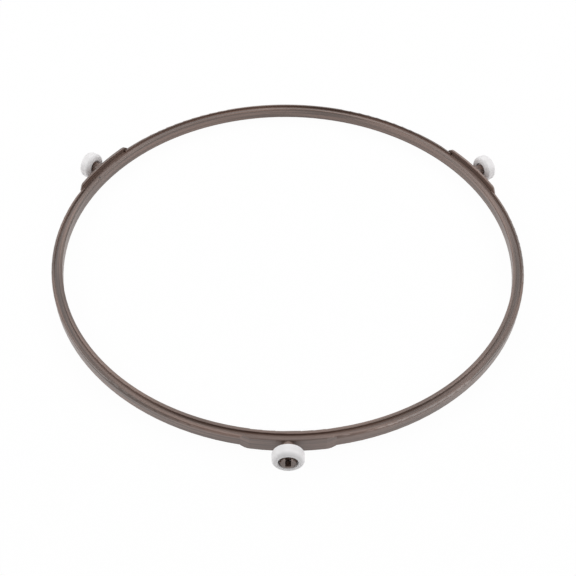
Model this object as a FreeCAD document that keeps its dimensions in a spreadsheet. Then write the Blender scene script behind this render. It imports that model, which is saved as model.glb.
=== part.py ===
import FreeCAD, Part
import os

import Sketcher

# Roller ring that carries the glass tray of a microwave oven: one moulded ring with three spigots,
# and a roller snapped on each spigot. Millimetres, +Z up.
# The origin is on the ring's axis, level with the oven floor that the rollers stand on.

document = FreeCAD.newDocument("roller_ring")

# Driving dimensions
sizes = {
    "ring_diameter": 220.0,  # over the outer wall, away from the pads
    "ring_width": 5.0,  # radial, over both rims
    "ring_height": 5.4,  # from the rims down to the feet of the walls
    "wall_draft": 0.3,  # how far the inner wall leans out between rim and foot
    "outer_rim": 1.3,  # thickness of the outer wall
    "inner_rim": 1.6,  # thickness of the inner wall
    "channel_depth": 1.0,  # open channel between the rims
    "floor_thickness": 1.2,  # floor of the channel, over the hollow beneath
    "rim_round": 0.15,  # rounding of the rims and feet
    "outer_round": 0.8,  # rounding of the ring's outer upper edge
    "inner_round": 0.5,  # rounding of the ring's inner upper edge
    "pad_length": 38.5,  # straight across, from foot to foot
    "pad_bevel": 1.9,  # length of a pad's sloped ends
    "pad_rise": 1.5,  # above the rims
    "pad_drop": 0.75,  # below the feet
    "pad_proud": 0.75,  # outside the outer wall, between the tapered ends
    "pad_taper": 4.0,  # length of the ends, seen from above, where a pad comes out of the wall
    "pad_thickness": 1.1,  # the channel is wider behind a pad
    "pad_edge": 0.2,  # bevel along a pad's long edges
    "axle_depth": 1.4,  # spigot's axis below the rims
    "roller_diameter": 13.0,
    "roller_width": 5.3,
    "roller_round": 1.5,  # rounding of the tread's two edges
    "roller_gap": 3.25,  # between the pad and the roller's inner face
    "recess_depth": 1.1,  # takes the collar's end, in the roller's inner face
    "hub_thickness": 1.8,  # web of the roller that runs on the journal
    "edge_bevel": 0.25,  # edges of the recess and the mouth
    "journal_diameter": 4.5,  # spigot inside the roller's hub
    "collar_step": 0.3,  # collar beyond the journal, radial
    "lip_step": 1.15,  # lip beyond the journal, radial
    "lip_land": 1.4,  # straight stretch of the lip
    "tip_taper": 1.0,  # length of the lead-in cone
    "tip_step": 0.35,  # how far the cone narrows, radial
    "running_clearance": 0.06,  # journal in hub, radial
    "recess_clearance": 0.75,  # collar in recess, radial
    "mouth_clearance": 0.6,  # lip in the roller's mouth, radial
    "end_play": 0.2,  # hub between the collar and the lip, at each side
    "slot_width": 2.3,  # splits the spigot into two springy legs
    "slot_depth": 3.0,  # from the tip to the slot's root
    "slot_web": 0.9,  # joins the legs under the slot, at the tip
}

# Where the rollers stand round the ring, the first one in front at -Y
roller_names = ["roller_front", "roller_right", "roller_left"]
front_angle = 270.0
roller_step = 360.0 / len(roller_names)

sheet = document.addObject("Spreadsheet::Sheet", "dims")
for row, (alias, value) in enumerate(sizes.items(), 1):
    sheet.set(f"A{row}", alias)
    sheet.set(f"B{row}", str(value))
    sheet.setAlias(f"B{row}", alias)
document.recompute()

# Heights above the oven floor
axle_height = "(dims.roller_diameter / 2)"
rim_top = f"({axle_height} + dims.axle_depth)"
ring_bottom = f"({rim_top} - dims.ring_height)"
channel_floor = f"({rim_top} - dims.channel_depth)"
floor_underside = f"({channel_floor} - dims.floor_thickness)"
pad_top = f"({rim_top} + dims.pad_rise)"
pad_bottom = f"({ring_bottom} - dims.pad_drop)"

# Distances from the ring's axis
outer_radius = "(dims.ring_diameter / 2)"
outer_wall_inside = f"({outer_radius} - dims.outer_rim)"
inner_radius = f"({outer_radius} - dims.ring_width)"
inner_wall_outside = f"({inner_radius} + dims.inner_rim)"
foot_radius = f"({inner_radius} + dims.wall_draft)"
foot_outside = f"({foot_radius} + dims.inner_rim)"
pad_radius = f"({outer_radius} + dims.pad_proud)"
pad_inside = f"({pad_radius} - dims.pad_thickness)"
spigot_root = f"({pad_radius} - dims.pad_thickness / 2)"
roller_inside = f"({pad_radius} + dims.roller_gap)"
roller_outside = f"({roller_inside} + dims.roller_width)"
hub_inside = f"({roller_inside} + dims.recess_depth)"
hub_outside = f"({hub_inside} + dims.hub_thickness)"
collar_end = f"({hub_inside} - dims.end_play)"
lip_start = f"({hub_outside} + dims.end_play)"
lip_end = f"({lip_start} + dims.lip_land)"
spigot_tip = f"({lip_end} + dims.tip_taper)"
slot_root = f"({spigot_tip} - dims.slot_depth)"
slot_mouth = f"({spigot_tip} + dims.slot_width)"

# Distances from a spigot's axis
journal_radius = "(dims.journal_diameter / 2)"
collar_radius = f"({journal_radius} + dims.collar_step)"
lip_radius = f"({journal_radius} + dims.lip_step)"
tip_radius = f"({lip_radius} - dims.tip_step)"
bore_radius = f"({journal_radius} + dims.running_clearance)"
recess_radius = f"({collar_radius} + dims.recess_clearance)"
mouth_radius = f"({lip_radius} + dims.mouth_clearance)"
tread_radius = "(dims.roller_diameter / 2)"

# Heights of the slot's floor and of a level clear above the spigot
slot_floor = f"({axle_height} - {tip_radius} + dims.slot_web)"
slot_above = f"({axle_height} + {tread_radius})"

# Rounded edges stay within the walls that carry them
wall_share = 0.45
rim_round = f"min(dims.rim_round; {wall_share} * dims.inner_rim; dims.outer_rim / 4)"
outer_round = "min(dims.outer_round; dims.outer_rim * 2 / 3)"
inner_round = f"min(dims.inner_round; {wall_share} * dims.inner_rim)"
face_width = f"({tread_radius} - {mouth_radius} - dims.edge_bevel)"
tread_round = f"min(dims.roller_round; {wall_share} * dims.roller_width; 2 * {wall_share} * {face_width})"

on_axis = "0"
rough_value = 1.0  # starting value of a size in a sketch, before its expression sets it
wedge_reach = 1.5  # how far a cutting wedge runs past the corner it takes off
tolerance = 1e-4


def new_body(name):
    body = document.addObject("PartDesign::Body", name)
    body.Label = name
    return body


def origin_feature(body, role):
    return next(feature for feature in body.Origin.OriginFeatures if feature.Role == role)


def new_sketch(body, name, role):
    sketch = body.newObject("Sketcher::SketchObject", name)
    sketch.AttachmentSupport = [(origin_feature(body, role), "")]
    sketch.MapMode = "FlatFace"
    return sketch


def place_corner(sketch, line, kind, axis, expression):
    """Ties one coordinate of a line's first point to an expression, or to the sketch's own axis."""
    if expression == on_axis:
        sketch.addConstraint(Sketcher.Constraint("PointOnObject", line, 1, axis))
        return
    number = sketch.addConstraint(Sketcher.Constraint(kind, -1, 1, line, 1, rough_value))
    sketch.setExpression(f"Constraints[{number}]", expression)


def draw_outline(sketch, corners):
    """Closes straight lines through corners, each a pair of expressions for its place in the sketch."""
    first = sketch.GeometryCount
    count = len(corners)
    turn = FreeCAD.Rotation(FreeCAD.Vector(0, 0, 1), 360.0 / count)
    point = FreeCAD.Vector(1, 0, 0)
    for _ in corners:
        following = turn.multVec(point)
        sketch.addGeometry(Part.LineSegment(point, following), False)
        point = following
    for index in range(count):
        following = first + (index + 1) % count
        sketch.addConstraint(Sketcher.Constraint("Coincident", first + index, 2, following, 1))
    for index, (across, up) in enumerate(corners):
        place_corner(sketch, first + index, "DistanceX", -2, across)
        place_corner(sketch, first + index, "DistanceY", -1, up)


def revolve(body, name, sketch, axis, angle=None, kind="PartDesign::Revolution"):
    turned = body.newObject(kind, name)
    turned.Profile = sketch
    turned.ReferenceAxis = (sketch, [axis])
    if angle is not None:
        turned.setExpression("Angle", angle)
        turned.Midplane = True
    document.recompute()
    return turned


def cut_both_ways(body, name, sketch, length):
    """Cuts the sketch's outline to half the length each way, and checks that something was cut."""
    before = body.Shape.Volume
    pocket = body.newObject("PartDesign::Pocket", name)
    pocket.Profile = sketch
    pocket.SideType = "Symmetric"
    pocket.setExpression("Length", length)
    document.recompute()
    if body.Shape.Volume >= before:
        raise RuntimeError(f"{name} cut nothing")
    return pocket


def circles(shape, wanted):
    """Names of a shape's full circular edges whose radius and centre pass the test."""
    names = []
    for number, edge in enumerate(shape.Edges, 1):
        curve = edge.Curve
        if isinstance(curve, Part.Circle) and wanted(curve.Radius, curve.Center):
            names.append(f"Edge{number}")
    return names


def dress(body, kind, name, base, edges, setting, expression):
    feature = body.newObject(kind, name)
    feature.Base = (base, edges)
    feature.setExpression(setting, expression)
    document.recompute()
    return feature


def near(first, second):
    return abs(first - second) < tolerance


def make_ring():
    body = new_body("ring")

    # Channelled section, open above between the rims and hollow beneath
    section = new_sketch(body, "section", "XZ_Plane")
    draw_outline(section, [
        (outer_radius, ring_bottom),
        (outer_radius, rim_top),
        (outer_wall_inside, rim_top),
        (outer_wall_inside, channel_floor),
        (inner_wall_outside, channel_floor),
        (inner_wall_outside, rim_top),
        (inner_radius, rim_top),
        (foot_radius, ring_bottom),
        (foot_outside, ring_bottom),
        (foot_outside, floor_underside),
        (outer_wall_inside, floor_underside),
        (outer_wall_inside, ring_bottom),
    ])
    hoop = revolve(body, "hoop", section, "V_Axis")

    top = hoop.Shape.BoundBox.ZMax
    bottom = hoop.Shape.BoundBox.ZMin
    outside = sizes["ring_diameter"] / 2
    inside = outside - sizes["ring_width"]
    foot = inside + sizes["wall_draft"]

    def channel_or_foot(radius, centre):
        at_channel = near(centre.z, top) and not near(radius, outside) and not near(radius, inside)
        at_foot = near(centre.z, bottom) and (near(radius, outside) or near(radius, foot))
        return at_channel or at_foot

    def round_upper_edge(name, base, wanted, expression):
        edge = circles(base.Shape, lambda radius, centre: near(centre.z, top) and near(radius, wanted))
        return dress(body, "PartDesign::Fillet", name, base, edge, "Radius", expression)

    rims = dress(body, "PartDesign::Fillet", "rims", hoop, circles(hoop.Shape, channel_or_foot), "Radius", rim_round)
    shoulder = round_upper_edge("shoulder", rims, outside, outer_round)
    round_upper_edge("inner_shoulder", shoulder, inside, inner_round)

    # Taller stretch of the outer wall behind each roller
    wall = new_sketch(body, "pad_section", "XZ_Plane")
    draw_outline(wall, [
        (pad_inside, pad_bottom),
        (f"{pad_radius} - dims.pad_edge", pad_bottom),
        (pad_radius, f"{pad_bottom} + dims.pad_edge"),
        (pad_radius, f"{pad_top} - dims.pad_edge"),
        (f"{pad_radius} - dims.pad_edge", pad_top),
        (f"{pad_inside} + dims.pad_edge", pad_top),
        (pad_inside, f"{pad_top} - dims.pad_edge"),
    ])
    pad_angle = f"2 * asin(dims.pad_length / 2 / {pad_radius})"
    pad = revolve(body, "pad", wall, "V_Axis", pad_angle)

    # Behind a pad, between its sloped ends, the channel reaches the pad's own inner face
    niche = new_sketch(body, "niche_section", "XZ_Plane")
    draw_outline(niche, [
        (outer_wall_inside, channel_floor),
        (pad_inside, channel_floor),
        (pad_inside, pad_top),
        (outer_wall_inside, pad_top),
    ])
    niche_angle = f"2 * asin((dims.pad_length / 2 - dims.pad_bevel) / {pad_radius})"
    relief = revolve(body, "relief", niche, "V_Axis", niche_angle, "PartDesign::Groove")

    # Sloped ends: a wedge with its point at the pad's foot takes each corner off
    ends = new_sketch(body, "pad_ends", "YZ_Plane")
    foot_end = "dims.pad_length / 2"
    above = f"{rim_top} + {wedge_reach} * dims.pad_rise"
    below = f"{ring_bottom} - {wedge_reach} * dims.pad_drop"
    for side in ("", "-"):
        for level, beyond in ((rim_top, above), (ring_bottom, below)):
            draw_outline(ends, [
                (f"{side}({foot_end})", level),
                (f"{side}({foot_end} - {wedge_reach} * dims.pad_bevel)", beyond),
                (f"{side}({foot_end} + dims.pad_bevel)", beyond),
            ])
    slopes = cut_both_ways(body, "pad_slopes", ends, "2 * dims.ring_diameter")

    # Tapered ends, seen from above: from the ring's wall out to the pad's face
    plan = new_sketch(body, "pad_plan", "XY_Plane")
    wall_across = f"sqrt({outer_radius}^2 - ({foot_end})^2)"
    face_across = f"sqrt({pad_radius}^2 - ({foot_end} - dims.pad_taper)^2)"
    beyond_face = f"{wall_across} + {wedge_reach} * ({face_across} - {wall_across})"
    for side in ("", "-"):
        draw_outline(plan, [
            (wall_across, f"{side}({foot_end})"),
            (beyond_face, f"{side}({foot_end} - {wedge_reach} * dims.pad_taper)"),
            (beyond_face, f"{side}({foot_end} + dims.pad_taper)"),
            (wall_across, f"{side}({foot_end} + dims.pad_taper)"),
        ])
    tapers = cut_both_ways(body, "pad_tapers", plan, "2 * dims.ring_diameter")

    # Shouldered spigot with a barbed end, turned about the roller's axis
    profile = new_sketch(body, "spigot_profile", "XZ_Plane")
    profile.setExpression("AttachmentOffset.Base.y", axle_height)
    draw_outline(profile, [
        (spigot_root, on_axis),
        (spigot_root, collar_radius),
        (collar_end, collar_radius),
        (collar_end, journal_radius),
        (lip_start, journal_radius),
        (lip_start, lip_radius),
        (lip_end, lip_radius),
        (spigot_tip, tip_radius),
        (spigot_tip, on_axis),
    ])
    spigot = revolve(body, "spigot", profile, "H_Axis")

    # Slot, open above and at the tip, that lets the two legs close while the roller is pushed on
    slit = new_sketch(body, "slot_outline", "XZ_Plane")
    draw_outline(slit, [
        (slot_root, slot_floor),
        (slot_mouth, slot_floor),
        (slot_mouth, slot_above),
        (slot_root, slot_above),
    ])
    slot = cut_both_ways(body, "slot", slit, "dims.slot_width")

    pattern = body.newObject("PartDesign::PolarPattern", "three_places")
    pattern.Originals = [pad, relief, slopes, tapers, spigot, slot]
    pattern.Axis = (origin_feature(body, "Z_Axis"), [""])
    pattern.Angle = 360.0
    pattern.Occurrences = len(roller_names)
    body.Tip = pattern
    body.Placement.Rotation = FreeCAD.Rotation(FreeCAD.Vector(0, 0, 1), front_angle)
    document.recompute()
    return body


def make_roller(name, angle):
    body = new_body(name)

    # Half section: tread, recess for the collar, hub on the journal, mouth round the lip
    section = new_sketch(body, f"{name}_section", "XZ_Plane")
    draw_outline(section, [
        (roller_inside, recess_radius),
        (roller_inside, tread_radius),
        (roller_outside, tread_radius),
        (roller_outside, mouth_radius),
        (hub_outside, mouth_radius),
        (hub_outside, bore_radius),
        (hub_inside, bore_radius),
        (hub_inside, recess_radius),
    ])
    blank = revolve(body, f"{name}_blank", section, "H_Axis")

    reach = sizes["roller_diameter"] / 2
    tread = circles(blank.Shape, lambda radius, centre: near(radius, reach))
    rounded = dress(body, "PartDesign::Fillet", f"{name}_tread", blank, tread, "Radius", tread_round)

    # The smallest circle on each flat face is the edge of its opening
    opening_radius = {}
    for edge in rounded.Shape.Edges:
        if isinstance(edge.Curve, Part.Circle):
            face = round(edge.Curve.Center.x, 3)
            opening_radius[face] = min(edge.Curve.Radius, opening_radius.get(face, reach))
    inside, outside = min(opening_radius), max(opening_radius)

    def face_edge(radius, centre):
        return any(near(centre.x, face) and near(radius, opening_radius[face]) for face in (inside, outside))

    openings = circles(rounded.Shape, face_edge)
    dress(body, "PartDesign::Chamfer", f"{name}_openings", rounded, openings, "Size", "dims.edge_bevel")

    body.Placement.Rotation = FreeCAD.Rotation(FreeCAD.Vector(0, 0, 1), angle)
    body.setExpression("Placement.Base.z", axle_height)
    document.recompute()
    return body


pieces = [make_ring()]
for index, roller_name in enumerate(roller_names):
    pieces.append(make_roller(roller_name, front_angle + index * roller_step))

document.recompute()
for item in document.Objects:
    if "Invalid" in item.State or "Error" in item.State:
        raise RuntimeError(f"{item.Name} failed: {item.State}")
for piece in pieces:
    if piece.Shape.isNull() or not piece.Shape.isValid() or len(piece.Shape.Solids) != 1:
        raise RuntimeError(f"{piece.Label} is not one sound solid")

os.makedirs("parts", exist_ok=True)
for piece in pieces:
    piece.Shape.exportStep(f"parts/{piece.Label}.step")
    print(piece.Label, round(piece.Shape.Volume, 2), "mm3", piece.Shape.BoundBox)
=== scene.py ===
from math import radians

import bpy
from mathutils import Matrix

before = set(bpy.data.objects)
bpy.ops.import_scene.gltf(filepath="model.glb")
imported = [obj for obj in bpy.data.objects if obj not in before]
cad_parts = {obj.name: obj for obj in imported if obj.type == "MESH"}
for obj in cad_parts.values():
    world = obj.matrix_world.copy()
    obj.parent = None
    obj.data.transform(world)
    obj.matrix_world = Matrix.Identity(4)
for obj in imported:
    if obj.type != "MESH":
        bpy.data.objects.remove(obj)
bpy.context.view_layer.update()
bpy.ops.object.select_all(action="DESELECT")
print("frame loaded:", sorted(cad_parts))

noiseSpan = (0.38, 0.62)  # most of a noise lies between these, so a ramp uses its whole range


# small helpers for node trees
def startMaterial(name):
    material = bpy.data.materials.new(name)
    material.use_nodes = True
    tree = material.node_tree
    tree.nodes.clear()
    return material, tree


def setSocket(tree, socket, value):
    if isinstance(value, bpy.types.NodeSocket):
        tree.links.new(value, socket)
    else:
        socket.default_value = value


def addNode(tree, kind, settings=None, **sockets):
    node = tree.nodes.new(kind)
    for key, value in (settings or {}).items():
        setattr(node, key, value)
    for key, value in sockets.items():
        setSocket(tree, node.inputs[key.replace("_", " ")], value)
    return node


def addMath(tree, operation, first, second):
    node = addNode(tree, "ShaderNodeMath", {"operation": operation})
    setSocket(tree, node.inputs[0], first)
    setSocket(tree, node.inputs[1], second)
    return node.outputs[0]


def addNoise(tree, place, scale, detail=2.0):
    return addNode(tree, "ShaderNodeTexNoise", Vector=place, Scale=scale, Detail=detail).outputs["Fac"]


def addRamp(tree, factor, look):
    node = addNode(tree, "ShaderNodeValToRGB", Fac=factor)
    for end, position, colour in zip(node.color_ramp.elements, noiseSpan, (look["dark"], look["light"])):
        end.position = position
        end.color = (*colour, 1)
    return node.outputs["Color"]


def addMix(tree, share, first, second):
    mix = addNode(tree, "ShaderNodeMixShader", Fac=share)
    tree.links.new(first, mix.inputs[1])
    tree.links.new(second, mix.inputs[2])
    return mix.outputs["Shader"]


# plastic with a finely grained skin, whose roughness follows the pattern
def addPlastic(tree, place, colour, pattern, look):
    grain = addNoise(tree, place, look["grain"])
    bump = addNode(tree, "ShaderNodeBump", Height=grain, Distance=look["grainDepth"])
    rough = addNode(
        tree, "ShaderNodeMapRange", Value=pattern, To_Min=look["roughLow"], To_Max=look["roughHigh"])
    shader = addNode(
        tree, "ShaderNodeBsdfPrincipled", Base_Color=colour, Roughness=rough.outputs["Result"],
        Normal=bump.outputs["Normal"], Specular_IOR_Level=look["sheen"])
    addNode(tree, "ShaderNodeOutputMaterial", Surface=shader.outputs["BSDF"])


def giveMaterial(nodeName, material):
    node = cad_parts[nodeName]
    node.data.materials.clear()
    node.data.materials.append(material)


# ring: brown-grey moulded plastic, with flow lines that run round it
ringLook = {
    "dark": (0.085, 0.053, 0.04),
    "light": (0.21, 0.134, 0.107),
    "sheen": 0.85,  # strength of the surface reflection
    "flowAlong": 18.0,  # waves per metre round the ring
    "flowAcross": 1100.0,  # waves per metre across a wall
    "flowDetail": 3.0,
    "roughLow": 0.26,
    "roughHigh": 0.44,
    "grain": 2600.0,
    "grainDepth": 0.000007,
    "speckAt": (-0.09516, 0.04703, 0.0079),  # small dark mark on the inner rim
    "speckCore": 0.00048,  # fully dark to here, and faded out at the size
    "speckSize": 0.0008,
    "speckColour": (0.012, 0.006, 0.004),
}


def addFlow(tree, place, look):
    parts = addNode(tree, "ShaderNodeSeparateXYZ", Vector=place).outputs
    squares = [addMath(tree, "MULTIPLY", parts[axis], parts[axis]) for axis in ("X", "Y")]
    radius = addMath(tree, "SQRT", addMath(tree, "ADD", *squares), 0)
    across = addMath(tree, "MULTIPLY", addMath(tree, "ADD", radius, parts["Z"]), look["flowAcross"])
    along = [addMath(tree, "MULTIPLY", parts[axis], look["flowAlong"]) for axis in ("X", "Y")]
    flowPlace = addNode(tree, "ShaderNodeCombineXYZ", X=along[0], Y=along[1], Z=across).outputs["Vector"]
    return addNoise(tree, flowPlace, 1.0, look["flowDetail"])  # flowPlace is scaled already


def addSpeck(tree, place, plain, look):
    gap = addNode(tree, "ShaderNodeVectorMath", {"operation": "DISTANCE"})
    tree.links.new(place, gap.inputs[0])
    gap.inputs[1].default_value = look["speckAt"]
    share = addNode(
        tree, "ShaderNodeMapRange", Value=gap.outputs["Value"], From_Min=look["speckCore"],
        From_Max=look["speckSize"], To_Min=1.0, To_Max=0.0)
    mix = addNode(tree, "ShaderNodeMix", {"data_type": "RGBA"})
    tree.links.new(share.outputs["Result"], mix.inputs[0])
    tree.links.new(plain, mix.inputs[6])  # inputs 6 and 7 are the two colours
    mix.inputs[7].default_value = (*look["speckColour"], 1)
    return mix.outputs[2]


def makeRingPlastic(look):
    material, tree = startMaterial("ringPlastic")
    place = addNode(tree, "ShaderNodeTexCoord").outputs["Object"]
    flow = addFlow(tree, place, look)
    colour = addSpeck(tree, place, addRamp(tree, flow, look), look)
    addPlastic(tree, place, colour, flow, look)
    return material


giveMaterial("ring", makeRingPlastic(ringLook))
print("ring dressed")

# rollers: smooth off-white plastic, a little cloudy
rollerLook = {
    "dark": (0.805, 0.79, 0.795),
    "light": (0.845, 0.83, 0.835),
    "sheen": 0.5,
    "cloud": 260.0,  # waves per metre
    "cloudDetail": 4.0,
    "roughLow": 0.38,
    "roughHigh": 0.52,
    "grain": 3200.0,
    "grainDepth": 0.0000015,
}


def makeRollerPlastic(look):
    material, tree = startMaterial("rollerPlastic")
    place = addNode(tree, "ShaderNodeTexCoord").outputs["Object"]
    cloud = addNoise(tree, place, look["cloud"], look["cloudDetail"])
    addPlastic(tree, place, addRamp(tree, cloud, look), cloud, look)
    return material


rollerPlastic = makeRollerPlastic(rollerLook)
for rollerName in ("roller_front", "roller_right", "roller_left"):
    giveMaterial(rollerName, rollerPlastic)
print("rollers dressed")

# pale floor and backdrop: white where the camera or a reflection sees them, with a share for the shadow
paperLook = {"dark": (0.92, 0.92, 0.92), "light": (0.94, 0.94, 0.94), "fibre": 40.0, "shadowShare": 0.03}
floorLook = {"size": 8.0}
backdropLook = {"radius": 3.9, "height": 1.6, "sides": 96}


def seenDirectly(tree):
    rays = addNode(tree, "ShaderNodeLightPath").outputs
    shiny = addMath(tree, "MAXIMUM", rays["Is Glossy Ray"], rays["Is Transmission Ray"])
    return addMath(tree, "MAXIMUM", rays["Is Camera Ray"], shiny)


def makePaper(look):
    material, tree = startMaterial("floorPaper")
    place = addNode(tree, "ShaderNodeTexCoord").outputs["Object"]
    colour = addRamp(tree, addNoise(tree, place, look["fibre"]), look)
    matt = addNode(tree, "ShaderNodeBsdfDiffuse", Color=colour).outputs["BSDF"]
    white = addNode(tree, "ShaderNodeEmission", Strength=1.0).outputs["Emission"]
    shown = addMix(tree, look["shadowShare"], white, matt)
    both = addMix(tree, seenDirectly(tree), matt, shown)
    addNode(tree, "ShaderNodeOutputMaterial", Surface=both)
    material.cycles.emission_sampling = "NONE"  # the white is no lamp, and as one it would add noise
    return material


def keepOnStage(name, material):
    piece = bpy.context.object
    piece.name = name
    piece.data.materials.append(material)


paper = makePaper(paperLook)
bpy.ops.mesh.primitive_plane_add(size=floorLook["size"], location=(0, 0, 0))
keepOnStage("floor", paper)
bpy.ops.mesh.primitive_cylinder_add(
    vertices=backdropLook["sides"], radius=backdropLook["radius"], depth=backdropLook["height"],
    end_fill_type="NOTHING", location=(0, 0, backdropLook["height"] / 2))
keepOnStage("backdrop", paper)

# light: an even white room, soft boxes at both sides and above, and a strip at the back
roomLight = {"level": 0.32}
softBoxes = [
    {"name": "topBox", "at": (0.0, 0.35, 0.75), "turn": (-25, 0, 0), "size": (0.9, 0.7), "power": 1.45},
    {"name": "leftBox", "at": (-0.75, -0.05, 0.5), "turn": (0, -56, 0), "size": (0.6, 0.6), "power": 3.75},
    {"name": "rightBox", "at": (0.75, -0.05, 0.5), "turn": (0, 56, 0), "size": (0.6, 0.6), "power": 3.75},
    {"name": "backStrip", "at": (0.0, 0.9, 0.68), "turn": (-49, 0, 0), "size": (1.0, 0.6), "power": 1.9},
]


def makeRoom(light):
    world = bpy.data.worlds.new("room")
    bpy.context.scene.world = world
    world.use_nodes = True
    tree = world.node_tree
    tree.nodes.clear()
    sky = addNode(tree, "ShaderNodeBackground", Color=(1, 1, 1, 1), Strength=light["level"])
    addNode(tree, "ShaderNodeOutputWorld", Surface=sky.outputs["Background"])


def makeSoftBox(box):
    turn = [radians(angle) for angle in box["turn"]]
    bpy.ops.object.light_add(type="AREA", location=box["at"], rotation=turn)
    lamp = bpy.context.object
    lamp.name = box["name"]
    lamp.data.shape = "RECTANGLE"
    lamp.data.size, lamp.data.size_y = box["size"]
    lamp.data.energy = box["power"]


makeRoom(roomLight)
for softBox in softBoxes:
    makeSoftBox(softBox)
print("stage lit")

# camera at the photograph's view
cameraLook = {
    "at": (-0.00313, -0.31805, 0.32104),
    "turn": (42.794, -0.551, -0.011),
    "lens": 59.08,
    "sensor": 36.0,
    "nearest": 0.01,  # nothing closer than this is drawn
}


def makeCamera(look):
    turn = [radians(angle) for angle in look["turn"]]
    bpy.ops.object.camera_add(location=look["at"], rotation=turn)
    camera = bpy.context.object
    camera.data.sensor_fit = "HORIZONTAL"
    camera.data.sensor_width = look["sensor"]
    camera.data.lens = look["lens"]
    camera.data.clip_start = look["nearest"]
    bpy.context.scene.camera = camera


makeCamera(cameraLook)
bpy.context.scene.view_settings.view_transform = "Standard"
print("camera placed")
